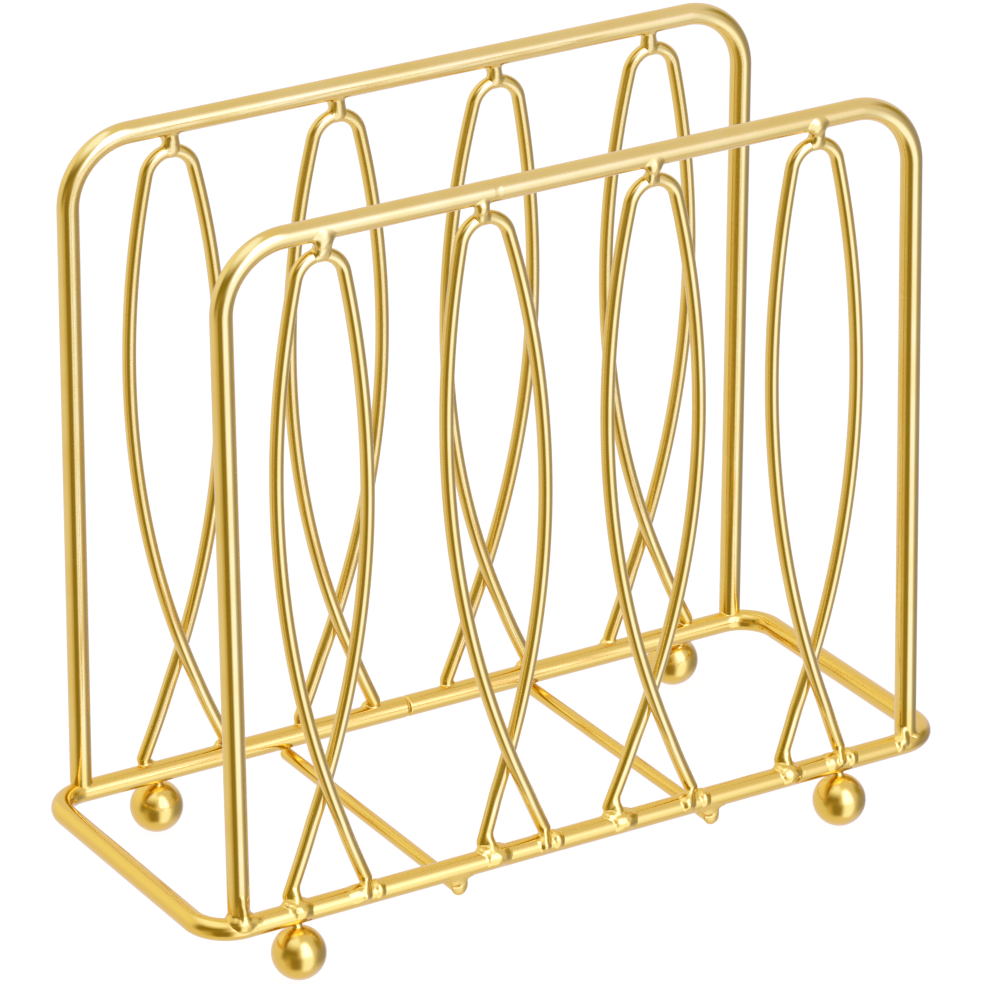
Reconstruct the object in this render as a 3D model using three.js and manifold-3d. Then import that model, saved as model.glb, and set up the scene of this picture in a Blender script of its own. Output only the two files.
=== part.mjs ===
// A free-standing napkin holder of welded steel wire with a satin gold finish.
//
// A base ring of thick wire stands on four balls. A hoop of the same wire rises from each long rail,
// and four ribbon loops of thinner wire fill each hoop. Two cross wires run under the rails from front
// to back. Every joint is a weld: each weld is a small bead of its own, set against the wires it joins.
//
// Millimetres. X runs along the rails, Y from front to back, Z up. The origin lies on the table, under
// the middle of the whole holder. Nothing on the holder moves.

import * as THREE from "three";
import { mergeVertices } from "three/addons/utils/BufferGeometryUtils.js";
import Module from "manifold-3d";

const wasm = await Module();
wasm.setup();

// Wires and balls
const frameWire = 4;
const loopWire = 2.5;
const crossWire = 2.5;
const ballDiameter = 9.8;
const ballFlat = 2.4; // width of the small flat that a ball stands on
const clearance = 0.3; // gap left between two pieces that a weld joins

// Base ring, measured along the middle of its wire
const ringWidth = 61.3;
const ringCorner = 7;
const seamPlace = -1.4; // place of the butt seam along the rear rail
const seamBead = 0.6; // thickness of the seam's bead along the rail
const seamDip = 0.1; // how far that bead lies below the wire's surface

// Hoops
const hoopHeight = 126.1; // base ring to top rail, middle to middle
const hoopCorner = 12.2;
const hoopLean = THREE.MathUtils.degToRad(0.77); // towards the napkins
const hoopOverCorner = 0.95; // a leg stands this far past the start of the ring's corner

// Ribbon loops
const loopPitch = 33.3;
const loopWidth = 19.3;
const loopTopRadius = 4.9;
const loopBellyDepth = 44.5; // from the top of a loop down to its widest place
const loopLegRun = 5; // straight stretch of each leg above its foot
const loopEndRoom = 10.4; // widest place of an end loop to the hoop's leg
const loopTopGap = 1.5; // between the top rail and the loop, where the nub sits
const loopFootStagger = 0.4; // feet of one loop sit this far behind and before the hoop's plane

// Each panel was bent and welded by hand, and these are its departures from the even shape.
// A panel: how far inside the middle of its rail it stands, and how far along the rail it is moved.
// A hoop: how much taller it is, how much wider its gap above the loops is, and how far each leg leans in
// at its top.
// A loop: how far its top is moved along the rail. Each half is named after the side of its belly and
// crosses over to its foot: how far that foot reaches past the top, how much wider and lower the belly is.
// A ball: how far inboard of the outer foot of the end loop it sits, and how far outside the rail's middle.
const panels = [
  {
    name: "front",
    side: -1,
    inset: 0.9,
    along: 0,
    rowShift: -1.5,
    hoop: { taller: -0.2, widerGap: -0.2, leftLean: 0, rightLean: 0.7 },
    loops: [
      {
        shift: 0.4,
        right: { foot: 8.7, wider: -0.8 },
        left: { foot: 6.2 },
      },
      {
        shift: -0.5,
        right: { foot: 1.6, wider: 2.5, lower: 9 },
        left: { foot: 10.5, wider: -1.2, lower: -4.5 },
      },
      {
        shift: 0.1,
        right: { foot: 9.2, wider: 0.3, lower: 2 },
        left: { foot: 7.7, wider: 0.2 },
      },
      {
        shift: 0.3,
        right: { foot: 5.9, wider: 0.2, lower: 4 },
        left: { foot: 6.2, wider: -0.6 },
      },
    ],
    balls: { left: { inset: 0.5, out: 0.9 }, right: { inset: 0.5, out: 0.8 } },
  },
  {
    name: "rear",
    side: 1,
    inset: -0.5,
    along: 0.85,
    rowShift: 0.65,
    hoop: { taller: -0.4, widerGap: 0.3, leftLean: 0.5, rightLean: 0 },
    loops: [
      {
        shift: -0.1,
        right: { foot: 7.55, wider: 0.4, lower: 1.5 },
        left: { foot: 9.25, wider: -0.5, lower: -2.5 },
      },
      {
        shift: 0.2,
        right: { foot: 8.35 },
        left: { foot: 6.85, wider: 0.6, lower: 1 },
      },
      {
        shift: 0,
        right: { foot: 10.05, wider: -1.2, lower: -2.5 },
        left: { foot: 7.25, wider: 1.1, lower: 2.5 },
      },
      {
        shift: -0.2,
        right: { foot: 7.15, wider: -0.3 },
        left: { foot: 9.45, lower: -1 },
      },
    ],
    balls: { left: { inset: 3.35, out: 1 }, right: { inset: -0.35, out: 4 } },
  },
];

// Cross wires and ball feet
const crossSpacing = 53;
const crossOverhang = 0.4; // past the middle of the rail at each end
const ballGap = 0.4; // height from the top of a ball to the underside of the rail

// Weld beads: half sizes along the rail, across it and up
const nubBead = new THREE.Vector3(1.9, 2.2, 2.4);
const leftFootBead = new THREE.Vector3(2.1, 2.3, 2.2);
const rightFootBead = new THREE.Vector3(1.9, 2.2, 1.8);
const hoopFootBead = new THREE.Vector3(3.3, 3.3, 2.2);
const crossBead = new THREE.Vector3(2, 1.7, 1.7);
const ballCollar = { radius: 2.3, bite: 0.8 }; // bite: how far it reaches past the gap at each end

// Facets
const frameSides = 12;
const loopSides = 8;
const ballSides = 16;
const ballRows = 9;
const collarSides = 12;
const beadSides = 8;
const beadRows = 6;
const cornerSteps = 7;
const loopTopSteps = 5;
const loopUpperSteps = 3;
const loopLowerSteps = 5;
const loopLegSteps = 3;
const crossingRounds = 40;

// Sizes that follow from the ones above
const frameRadius = frameWire / 2;
const loopRadius = loopWire / 2;
const crossRadius = crossWire / 2;
const ballRadius = ballDiameter / 2;
const loopCount = panels[0].loops.length;
const hoopLegX = ((loopCount - 1) * loopPitch + loopWidth) / 2 + loopEndRoom;
const ringEndX = hoopLegX + ringCorner - hoopOverCorner;
const railY = ringWidth / 2;
const ballSeat = Math.sqrt(ballRadius ** 2 - (ballFlat / 2) ** 2);
const ballDrop = frameRadius + ballGap + ballRadius;
const ringHeight = ballDrop + ballSeat;
const [frontOut, rearOut] = panels.map(({ balls }) => Math.max(balls.left.out, balls.right.out));
// The balls stand out unevenly, and the origin lies under the middle between them
const ringShift = (frontOut - rearOut) / 2;
const crossDrop = frameRadius + clearance + crossRadius;

// Finishes
const finishes = {
  frame: new THREE.MeshStandardMaterial({ color: 0xd9b25e, roughness: 0.33, metalness: 1 }),
  loop: new THREE.MeshStandardMaterial({ color: 0xdcb765, roughness: 0.3, metalness: 1 }),
  ball: new THREE.MeshStandardMaterial({ color: 0xd8ac50, roughness: 0.25, metalness: 1 }),
  weld: new THREE.MeshStandardMaterial({ color: 0xe3c27c, roughness: 0.4, metalness: 1 }),
};

// An arc of a circle in the plane of two unit vectors
class Arc extends THREE.Curve {
  constructor(centre, across, along, radius, from, to) {
    super();
    Object.assign(this, { centre, across, along, radius, from, to });
  }
  getPoint(t, target = new THREE.Vector3()) {
    const angle = THREE.MathUtils.lerp(this.from, this.to, t);
    return target
      .copy(this.centre)
      .addScaledVector(this.across, this.radius * Math.cos(angle))
      .addScaledVector(this.along, this.radius * Math.sin(angle));
  }
}

// The middle line of a wire as a row of stations, each a point and the way the wire runs there
class WireLine extends THREE.Curve {
  constructor(stations) {
    super();
    this.stations = stations;
    this.steps = stations.length - 1;
  }
  station(u) {
    return this.stations[Math.round(u * this.steps)];
  }
  getPointAt(u) {
    return this.station(u).point.clone();
  }
  getTangentAt(u) {
    return this.station(u).tangent.clone();
  }
}

function stationsOf(curve, steps) {
  return Array.from({ length: steps + 1 }, (_, i) => ({
    point: curve.getPoint(i / steps),
    tangent: curve.getTangent(i / steps),
  }));
}

function joined(...runs) {
  return runs.flatMap((run, i) => (i ? run.slice(1) : run));
}

function turnedRound(run) {
  return run.map(({ point, tangent }) => ({ point, tangent: tangent.clone().negate() })).reverse();
}

function straight(from, to, steps = 1) {
  return stationsOf(new THREE.LineCurve3(from, to), steps);
}

// A round wire along its stations
function wireGeometry(stations, radius, sides) {
  const corners = Array.from({ length: sides }, (_, i) => {
    const angle = (2 * Math.PI * i) / sides;
    return new THREE.Vector2(radius * Math.cos(angle), radius * Math.sin(angle));
  });
  const line = new WireLine(stations);
  return new THREE.ExtrudeGeometry(new THREE.Shape(corners), {
    steps: line.steps,
    extrudePath: line,
    bevelEnabled: false,
  });
}

// Lengthens a wire at both ends, so that a bead cut by it keeps clear of its end faces
function lengthened(stations, extra) {
  const first = stations[0];
  const last = stations[stations.length - 1];
  const before = first.point.clone().addScaledVector(first.tangent, -extra);
  const after = last.point.clone().addScaledVector(last.tangent, extra);
  return [{ ...first, point: before }, ...stations.slice(1, -1), { ...last, point: after }];
}

function solidOf(geometry) {
  const bare = geometry.clone();
  bare.deleteAttribute("normal");
  bare.deleteAttribute("uv");
  const merged = mergeVertices(bare, 1e-4);
  return new wasm.Manifold(
    new wasm.Mesh({
      numProp: 3,
      vertProperties: merged.attributes.position.array,
      triVerts: new Uint32Array(merged.index.array),
    }),
  );
}

function geometryOf(solid) {
  const { vertProperties, triVerts } = solid.getMesh();
  const geometry = new THREE.BufferGeometry();
  geometry.setAttribute("position", new THREE.BufferAttribute(vertProperties, 3));
  geometry.setIndex(new THREE.BufferAttribute(triVerts, 1));
  geometry.computeVertexNormals();
  return geometry;
}

// The space of a wire and its clearance, as a cutter for beads
function wireCutter(stations, radius, sides) {
  return solidOf(wireGeometry(lengthened(stations, clearance), radius + clearance, sides));
}

// What is left of a bead after its neighbours are cut out of it
function cutBead(bead, cutters) {
  const left = cutters.reduce((rest, cutter) => rest.subtract(cutter), solidOf(bead));
  const bodies = left.decompose();
  return geometryOf(bodies.reduce((big, body) => (body.volume() > big.volume() ? body : big)));
}

function roundBead(halfSizes, place) {
  const bead = new THREE.SphereGeometry(1, beadSides, beadRows);
  bead.rotateX(Math.PI / 2);
  bead.scale(halfSizes.x, halfSizes.y, halfSizes.z);
  return bead.translate(place.x, place.y, place.z);
}

function addPiece(parent, name, geometry, finish) {
  const piece = new THREE.Mesh(geometry, finishes[finish]);
  piece.name = name;
  parent.add(piece);
}

const xAxis = new THREE.Vector3(1, 0, 0);
const yAxis = new THREE.Vector3(0, 1, 0);
const zAxis = new THREE.Vector3(0, 0, 1);

// Base ring: from one side of the seam on the rear rail round to the other side
function ringStations() {
  const turnX = ringEndX - ringCorner;
  const turnY = railY - ringCorner;
  const halfSeam = seamBead / 2 + clearance;
  const corner = (sx, sy, from) => {
    const centre = new THREE.Vector3(sx * turnX, sy * turnY, 0);
    const arc = new Arc(centre, xAxis, yAxis, ringCorner, from, from + Math.PI / 2);
    return stationsOf(arc, cornerSteps);
  };
  const corners = [
    corner(-1, 1, Math.PI / 2),
    corner(-1, -1, Math.PI),
    corner(1, -1, 1.5 * Math.PI),
    corner(1, 1, 0),
  ];
  const start = new THREE.Vector3(seamPlace - halfSeam, railY, 0);
  const end = new THREE.Vector3(seamPlace + halfSeam, railY, 0);
  const runs = [];
  let from = start;
  for (const turn of corners) {
    runs.push(straight(from, turn[0].point), turn);
    from = turn[turn.length - 1].point;
  }
  return joined(...runs, straight(from, end));
}

// Hoop: up the left leg, over the top and down the right leg, in the hoop's own plane
function hoopStations({ taller, leftLean, rightLean }) {
  const foot = frameRadius + clearance;
  const top = hoopHeight + taller;
  const turnZ = top - hoopCorner;
  const halves = [
    [-1, leftLean],
    [1, rightLean],
  ].map(([side, lean]) => {
    const tilt = Math.atan(lean / top);
    const turnX = hoopLegX - turnZ * Math.tan(tilt) - hoopCorner / Math.cos(tilt);
    const centre = new THREE.Vector3(side * turnX, 0, turnZ);
    const outward = new THREE.Vector3(side, 0, 0);
    const corner = stationsOf(new Arc(centre, outward, zAxis, hoopCorner, tilt, Math.PI / 2), cornerSteps);
    const end = new THREE.Vector3(side * (hoopLegX - foot * Math.tan(tilt)), 0, foot);
    return joined(straight(end, corner[0].point), corner);
  });
  const [left, right] = halves;
  const rail = straight(left[left.length - 1].point, right[right.length - 1].point);
  return joined(left, rail, turnedRound(right));
}

// One half of a loop: arcs and a straight leg, from its top out to its belly and back in to its foot.
// It gives its stations, the turn of its leg and, for any depth below the belly, how far out it is there.
function loopHalf(footDepth, { foot, wider = 0, lower = 0 }) {
  const out = loopWidth / 2 + wider;
  const bellyDepth = loopBellyDepth + lower;
  const run = bellyDepth - loopTopRadius;
  const upperTurn = Math.PI / 2 - 2 * Math.atan((out - loopTopRadius) / run);
  const upperRadius = loopTopRadius + run / Math.cos(upperTurn);
  const below = footDepth - bellyDepth;
  const legTurn = 2 * Math.atan((out + foot) / (below + loopLegRun));
  const lowerRadius = (below - loopLegRun * Math.cos(legTurn)) / Math.sin(legTurn);
  const down = new THREE.Vector3(0, 0, -1);
  const arc = (across, depth, radius, from, to, steps) => {
    const centre = new THREE.Vector3(across, 0, -depth);
    return stationsOf(new Arc(centre, xAxis, down, radius, from, to), steps);
  };
  const quarter = Math.PI / 2;
  const top = arc(0, loopTopRadius, loopTopRadius, -quarter, upperTurn - quarter, loopTopSteps);
  const upper = arc(out - upperRadius, bellyDepth, upperRadius, upperTurn - quarter, 0, loopUpperSteps);
  const under = arc(out - lowerRadius, bellyDepth, lowerRadius, 0, legTurn, loopLowerSteps);
  const legStart = under[loopLowerSteps].point;
  const leg = straight(legStart, new THREE.Vector3(-foot, 0, -footDepth), loopLegSteps);
  const outAt = (depth) => {
    if (depth > -legStart.z) return (footDepth - depth) * Math.tan(legTurn) - foot;
    return out - lowerRadius + Math.sqrt(lowerRadius ** 2 - (depth - bellyDepth) ** 2);
  };
  return { stations: joined(top, upper, under, leg), bellyDepth, footDepth, legTurn, outAt };
}

// The depth at which the two halves of a loop cross, found by halving the range again and again
function crossingDepth(one, other) {
  let above = Math.max(one.bellyDepth, other.bellyDepth);
  let below = Math.min(one.footDepth, other.footDepth);
  for (let i = 0; i < crossingRounds; i += 1) {
    const middle = (above + below) / 2;
    if (one.outAt(middle) + other.outAt(middle) > 0) above = middle;
    else below = middle;
  }
  return above;
}

// One loop as a single wire. Its right half ends in the left foot and passes behind its left half.
function loopStations(loopTop, { right, left }) {
  const deepest = loopTop - frameRadius - clearance;
  const halves = [right, left].map((shape) => {
    const { legTurn } = loopHalf(deepest, shape);
    return loopHalf(deepest - loopRadius * Math.sin(legTurn), shape);
  });
  const crossing = crossingDepth(...halves);
  const apart = (loopWire + clearance) / 2;
  const aboveCrossing = crossing - 2 * loopWire;
  const belowCrossing = crossing + 2 * loopWire;
  const stagger = (depth, footDepth) => {
    if (depth < aboveCrossing) return (apart * depth) / aboveCrossing;
    if (depth < belowCrossing) return apart;
    const share = (depth - belowCrossing) / (footDepth - belowCrossing);
    return THREE.MathUtils.lerp(apart, loopFootStagger, share);
  };
  const placed = ({ stations, footDepth }, side) =>
    stations.map(({ point, tangent }) => ({
      point: new THREE.Vector3(side * point.x, side * stagger(-point.z, footDepth), point.z),
      tangent: new THREE.Vector3(side * tangent.x, 0, tangent.z),
    }));
  return joined(turnedRound(placed(halves[0], 1)), placed(halves[1], -1));
}

function moved(stations, x, z) {
  const step = new THREE.Vector3(x, 0, z);
  return stations.map(({ point, tangent }) => ({ point: point.clone().add(step), tangent }));
}

// Base: ring and its seam, cross wires, balls and their welds
const holder = new THREE.Group();
const base = new THREE.Group();
base.position.set(0, ringShift, ringHeight);
holder.add(base);

const ring = ringStations();
const ringCutter = wireCutter(ring, frameRadius, frameSides);
addPiece(base, "base_ring", wireGeometry(ring, frameRadius, frameSides), "frame");

function addRingSeam() {
  const half = seamBead / 2;
  const across = straight(
    new THREE.Vector3(seamPlace - half, railY, 0),
    new THREE.Vector3(seamPlace + half, railY, 0),
  );
  addPiece(base, "base_ring_seam_weld", wireGeometry(across, frameRadius - seamDip, frameSides), "weld");
}

function addCrossWire(name, x) {
  const end = railY + crossOverhang;
  const line = straight(new THREE.Vector3(x, -end, -crossDrop), new THREE.Vector3(x, end, -crossDrop));
  const cutter = wireCutter(line, crossRadius, loopSides);
  addPiece(base, `cross_wire_${name}`, wireGeometry(line, crossRadius, loopSides), "loop");
  // The front bead wraps the end of the wire, the rear bead fills the corner inside the rail
  const beads = [
    ["front", -end],
    ["rear", railY - frameRadius],
  ];
  for (const [row, y] of beads) {
    const place = new THREE.Vector3(x, y, crossRadius - crossDrop);
    const bead = cutBead(roundBead(crossBead, place), [ringCutter, cutter]);
    addPiece(base, `cross_weld_${row}_${name}`, bead, "weld");
  }
}

function ballGeometry() {
  const flatAngle = Math.asin(ballFlat / ballDiameter);
  const outline = [new THREE.Vector2(0, -ballSeat)];
  for (let i = 0; i <= ballRows; i += 1) {
    const angle = THREE.MathUtils.lerp(flatAngle, Math.PI, i / ballRows);
    const out = i < ballRows ? ballRadius * Math.sin(angle) : 0;
    outline.push(new THREE.Vector2(out, -ballRadius * Math.cos(angle)));
  }
  return new THREE.LatheGeometry(outline, ballSides).rotateX(Math.PI / 2);
}

// A ball and the collar that ties it to the rail, along the line from the ball to the rail's middle
function addBallFoot(name, x, side, out) {
  const centre = new THREE.Vector3(x, side * (railY + out), -ballDrop);
  const toRail = new THREE.Vector3(0, -side * out, ballDrop);
  const gap = toRail.length() - ballRadius - frameRadius;
  toRail.normalize();
  const ball = ballGeometry().translate(centre.x, centre.y, centre.z);
  addPiece(base, `ball_foot_${name}`, ball, "ball");
  const room = new THREE.SphereGeometry(ballRadius + clearance, ballSides, ballRows);
  room.translate(centre.x, centre.y, centre.z);
  const { radius, bite } = ballCollar;
  const collar = new THREE.CylinderGeometry(radius, radius, gap + 2 * bite, collarSides);
  const middle = centre.clone().addScaledVector(toRail, ballRadius + gap / 2);
  collar.applyQuaternion(new THREE.Quaternion().setFromUnitVectors(yAxis, toRail));
  collar.translate(middle.x, middle.y, middle.z);
  addPiece(base, `ball_weld_${name}`, cutBead(collar, [ringCutter, solidOf(room)]), "weld");
}

// Panel: a hoop, its loops and their welds, in the hoop's own plane
function addPanel({ name, side, inset, along, rowShift, hoop: hoopShape, loops, balls }) {
  const panel = new THREE.Group();
  panel.position.set(along, side * (railY - inset), 0);
  panel.rotation.x = side * hoopLean;
  base.add(panel);
  panel.updateMatrix();
  const intoPanel = panel.matrix.clone().invert();
  const ringRoom = wireGeometry(lengthened(ring, clearance), frameRadius + clearance, frameSides);
  const railCutter = solidOf(ringRoom.applyMatrix4(intoPanel));

  const hoop = hoopStations(hoopShape);
  const hoopCutter = wireCutter(hoop, frameRadius, frameSides);
  addPiece(panel, `${name}_hoop`, wireGeometry(hoop, frameRadius, frameSides), "frame");
  for (const [end, sx] of [["left", -1], ["right", 1]]) {
    const place = new THREE.Vector3(sx * hoopLegX, 0, frameRadius);
    const bead = cutBead(roundBead(hoopFootBead, place), [railCutter, hoopCutter]);
    addPiece(panel, `${name}_hoop_weld_${end}`, bead, "weld");
  }

  const topGap = loopTopGap + hoopShape.widerGap;
  const loopTop = hoopHeight + hoopShape.taller - frameRadius - topGap - loopRadius;
  loops.forEach((loop, i) => {
    const label = `${name}_loop_${i + 1}`;
    const topX = (i - (loopCount - 1) / 2) * loopPitch + rowShift + loop.shift;
    const line = moved(loopStations(loopTop, loop), topX, loopTop);
    const loopCutter = wireCutter(line, loopRadius, loopSides);
    addPiece(panel, label, wireGeometry(line, loopRadius, loopSides), "loop");

    const nubPlace = new THREE.Vector3(topX, 0, loopTop + loopRadius + topGap / 2);
    const nub = cutBead(roundBead(nubBead, nubPlace), [hoopCutter, loopCutter]);
    addPiece(panel, `${label}_top_weld`, nub, "weld");

    const feet = [
      ["left", leftFootBead, line[0].point],
      ["right", rightFootBead, line[line.length - 1].point],
    ];
    for (const [end, halfSizes, foot] of feet) {
      const place = new THREE.Vector3(foot.x, foot.y, frameRadius);
      const bead = cutBead(roundBead(halfSizes, place), [railCutter, loopCutter]);
      addPiece(panel, `${label}_${end}_weld`, bead, "weld");
    }
  });

  const rowEnd = ((loopCount - 1) / 2) * loopPitch;
  const first = loops[0];
  const last = loops[loopCount - 1];
  const leftFoot = rowShift - rowEnd + first.shift - first.right.foot;
  const rightFoot = rowShift + rowEnd + last.shift + last.left.foot;
  addBallFoot(`${name}_left`, leftFoot + balls.left.inset, side, balls.left.out);
  addBallFoot(`${name}_right`, rightFoot - balls.right.inset, side, balls.right.out);
}

addRingSeam();
addCrossWire("left", -crossSpacing / 2);
addCrossWire("right", crossSpacing / 2);
panels.forEach(addPanel);

export default holder;
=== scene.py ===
# %% [markdown]
# # A gold wire napkin holder
#
# The real holder is bent and welded from steel wire and then lacquered gold. Two hoops stand on a base
# ring, four ribbon loops fill each hoop, two cross wires tie the rails together and four balls carry it
# all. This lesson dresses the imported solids: it draws every wire again with a round section, lays a real
# weld bead at every joint, gives the metal its satin gold and sets up a soft white studio.

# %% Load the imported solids
import math

import bpy
from mathutils import Matrix, Vector


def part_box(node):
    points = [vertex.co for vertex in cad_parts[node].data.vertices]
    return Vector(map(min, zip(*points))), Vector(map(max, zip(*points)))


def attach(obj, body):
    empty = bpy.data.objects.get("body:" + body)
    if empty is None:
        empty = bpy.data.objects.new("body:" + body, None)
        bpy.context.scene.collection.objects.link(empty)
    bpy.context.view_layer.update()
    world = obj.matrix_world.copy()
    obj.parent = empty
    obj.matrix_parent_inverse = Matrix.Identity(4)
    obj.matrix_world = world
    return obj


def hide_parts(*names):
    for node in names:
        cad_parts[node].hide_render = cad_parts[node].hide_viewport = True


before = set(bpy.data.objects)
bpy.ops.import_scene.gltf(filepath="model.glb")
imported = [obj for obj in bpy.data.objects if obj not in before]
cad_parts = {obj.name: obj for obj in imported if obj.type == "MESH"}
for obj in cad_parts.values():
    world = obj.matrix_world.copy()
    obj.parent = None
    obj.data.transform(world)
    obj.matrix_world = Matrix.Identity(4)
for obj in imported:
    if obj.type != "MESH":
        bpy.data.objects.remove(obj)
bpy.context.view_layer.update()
MM = 0.001
print("solids in the frame:", len(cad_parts))

# %% [markdown]
# ## The camera
#
# The photograph was taken with a long lens from the front left, a little above the top rails. A camera in
# Blender looks down its own -Z axis, so its rotation is the matrix whose columns are the picture's right,
# the picture's up and the way back to the lens. Building that matrix from three angles keeps every number
# readable.

# %% Place the camera
CAMERA_AZIMUTH = math.radians(-30.913)
CAMERA_ELEVATION = math.radians(24.131)
CAMERA_ROLL = math.radians(-0.226)
CAMERA_PLACE = Vector((-0.53624, -0.89882, 0.53382))
SENSOR_WIDTH = 36.0
LENS_LENGTH = 229.86


def direction(azimuth, elevation):
    """A unit vector. Azimuth 0 points out of the front, along -Y, and grows towards +X."""
    flat = math.cos(elevation)
    return Vector((math.sin(azimuth) * flat, -math.cos(azimuth) * flat, math.sin(elevation)))


back = direction(CAMERA_AZIMUTH, CAMERA_ELEVATION)
level_right = Vector((0, 0, 1)).cross(back).normalized()
level_up = back.cross(level_right)
right = level_right * math.cos(CAMERA_ROLL) + level_up * math.sin(CAMERA_ROLL)
up = level_up * math.cos(CAMERA_ROLL) - level_right * math.sin(CAMERA_ROLL)

camera_data = bpy.data.cameras.new("photo_camera")
camera_data.sensor_width = SENSOR_WIDTH
camera_data.lens = LENS_LENGTH
camera_data.clip_start = 0.05
camera = bpy.data.objects.new("photo_camera", camera_data)
bpy.context.scene.collection.objects.link(camera)
turn = Matrix((right, up, back)).transposed().to_4x4()
camera.matrix_world = Matrix.Translation(CAMERA_PLACE) @ turn
bpy.context.scene.camera = camera
print("camera at", [round(x, 3) for x in camera.location])

# %% [markdown]
# ## Sums with nodes
#
# Both the finishes and the weld beads are sums of many nodes. Placing each Math node by hand makes long
# code, so one small class wraps a socket and lets Python's own operators add the nodes. Numbers go through
# Math nodes and vectors through Vector Math nodes. Every other node comes from a single method.

# %% A socket that can be used in sums


class Value:
    """An output socket of a node tree."""

    def __init__(self, tree, socket=None):
        self.tree = tree
        self.socket = socket

    def node(self, kind, settings=None, inputs=None, output=0):
        """Adds a node, sets it up, fills its sockets by name or number and returns one of its outputs."""
        made = self.tree.nodes.new(kind)
        for name, setting in (settings or {}).items():
            setattr(made, name, setting)
        for key, value in (inputs or {}).items():
            if isinstance(value, Value):
                self.tree.links.new(value.socket, made.inputs[key])
            else:
                made.inputs[key].default_value = value
        return Value(self.tree, made.outputs[output] if len(made.outputs) else None)

    def is_vector(self):
        return self.socket.type == "VECTOR"

    def math(self, operation, *others):
        values = dict(enumerate((self, *others)))
        return self.node("ShaderNodeMath", {"operation": operation}, values)

    def vector_math(self, operation, *others, output=0):
        values = dict(enumerate((self, *others)))
        return self.node("ShaderNodeVectorMath", {"operation": operation}, values, output)

    def combine(self, operation, other):
        return self.vector_math(operation, other) if self.is_vector() else self.math(operation, other)

    def scaled(self, factor):
        return self.node("ShaderNodeVectorMath", {"operation": "SCALE"}, {0: self, "Scale": factor})

    def length(self):
        return self.vector_math("LENGTH", output="Value")

    def axis(self, number):
        """One of the three numbers of a vector."""
        return self.node("ShaderNodeSeparateXYZ", inputs={0: self}, output=number)

    def dot(self, other):
        return self.vector_math("DOT_PRODUCT", other, output="Value")

    def __add__(self, other):
        return self.combine("ADD", other)

    def __radd__(self, other):
        return self.combine("ADD", other)

    def __sub__(self, other):
        return self.combine("SUBTRACT", other)

    def __rsub__(self, other):
        return self.node("ShaderNodeMath", {"operation": "SUBTRACT"}, {0: other, 1: self})

    def __mul__(self, other):
        return self.combine("MULTIPLY", other)

    def __rmul__(self, other):
        return self.combine("MULTIPLY", other)

    def __truediv__(self, other):
        return self.combine("DIVIDE", other)

    def step(self, low, high):
        """0 below low, 1 above high and a smooth rise between them."""
        ends = {"Value": self, "From Min": low, "From Max": high}
        return self.node("ShaderNodeMapRange", {"interpolation_type": "SMOOTHSTEP"}, ends)

    def mix(self, first, second):
        """From the first colour to the second as this value goes from 0 to 1."""
        return self.node("ShaderNodeMix", {"data_type": "RGBA"}, {0: self, 6: first, 7: second}, 2)


print("sums ready")

# %% [markdown]
# ## The studio
#
# A satin wire shows little of its own: it mirrors the room round it, squeezed into bands. So the room has
# to be right. A tall soft box at the front right draws the cream stripe and its glow on the table the lower
# half of that stripe. The dim room to the left of the lens draws the brown one, and another dim corner on
# the right the shaded edge. Lamps and cards could be built for all this. Painting the room on the world as
# soft-edged cards is simpler: each is one line, given by where it hangs, its half sizes and its light. A
# later card hangs in front of an earlier one. Only mirrored rays see the cards. The table is a white sheet
# that glows a little, like a light table, so that the holder stands on plain white.

# %% Room light
TABLE_LIGHT = 1.0
WALL_LIGHT = (0.82, 0.76, 1.05)
# A card has a name, then its azimuth, elevation, half width, half height and softness of the edge in degrees,
# then its red, green and blue light.
ROOM_CARDS = [
    ("ceiling glow", -105, 70, 85, 20, 12, (1.10, 1.25, 3.25)),
    ("pale wall behind", -150, 25, 35, 20, 20, (0.95, 0.93, 1.25)),
    ("pale wall on the right", 75, 0, 50, 70, 10, (0.77, 0.735, 1.32)),
    ("dim room on the left", -66, 10, 36, 25, 12, (0.27, 0.20, 0.02)),
    ("far end of the table", -62, -26, 22, 26, 18, (0.60, 0.47, 0.30)),
    ("dim table edge", -41, -26, 22, 26, 8, (0.29, 0.21, 0.04)),
    ("dim corner on the right", 80, 14, 20, 20, 12, (0.36, 0.29, 0.06)),
    ("shade under that corner", 82, -18, 36, 22, 16, (0.355, 0.34, 0.60)),
    ("glow on the table", 11, -28, 22, 30, 8, (1.15, 1.31, 3.60)),
    ("soft box", 7, 30, 21, 28, 10, (2.10, 2.36, 9.20)),
]

world = bpy.data.worlds.new("white_room")
bpy.context.scene.world = world
world.use_nodes = True
world.cycles.sampling_method = "NONE"
world.node_tree.nodes.clear()
room = Value(world.node_tree)
gaze = room.node("ShaderNodeTexCoord", output="Generated").vector_math("NORMALIZE")
gaze_x, gaze_y, gaze_z = [gaze.axis(i) for i in range(3)]
azimuth = gaze_x.math("ARCTAN2", gaze_y * -1.0)
elevation = gaze_z.math("ARCSINE")


def inside(angle, middle, half, soft):
    """1 within a stretch of angles and 0 outside it, with soft ends."""
    off = (angle - math.radians(middle)).math("ABSOLUTE")
    return 1 - off.step(math.radians(half - soft), math.radians(half + soft))


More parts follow.
